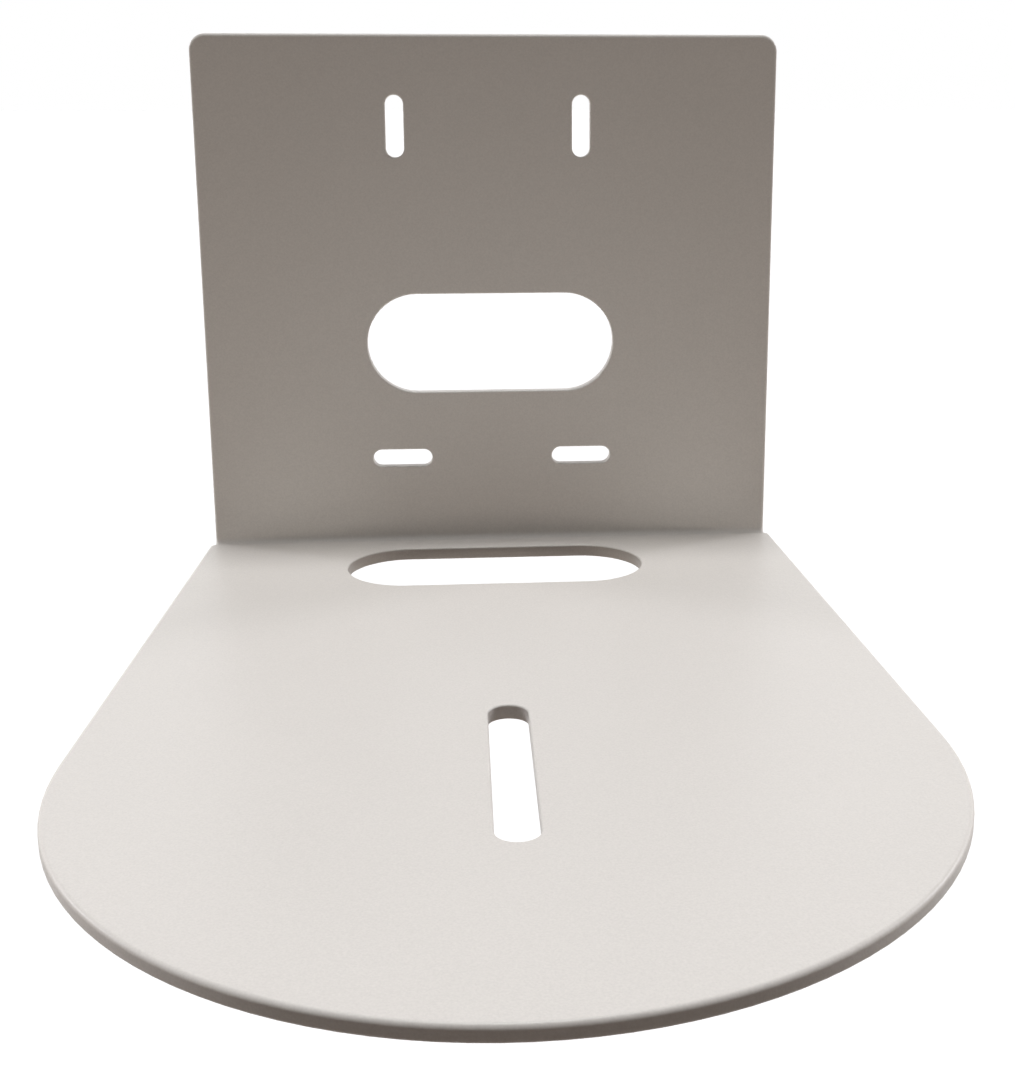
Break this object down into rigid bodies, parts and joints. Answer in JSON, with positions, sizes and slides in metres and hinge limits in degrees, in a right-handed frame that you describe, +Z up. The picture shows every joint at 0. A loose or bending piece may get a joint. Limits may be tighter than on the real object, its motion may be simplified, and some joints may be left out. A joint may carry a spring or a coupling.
{
  "type": "camera wall shelf bracket",
  "caption": "Bent sheet-metal wall bracket: an upright slotted plate with a cable hole and a round-fronted shelf with a cable hole and a camera screw slot.",
  "frame": {"origin": "on the wall face, on the plane of symmetry, midway between the two lower wall slots", "axes": "+X to the right as seen from the room, +Y into the wall, +Z up; the shelf reaches out along -Y"},
  "size_m": [0.16, 0.2194, 0.1307],
  "materials": {
    "powder_coat": "warm off-white powder coat, satin, with a fine orange-peel texture"
  },
  "bodies": {
    "root": {"wall_bracket": "powder_coat"}
  },
  "joints": []
}
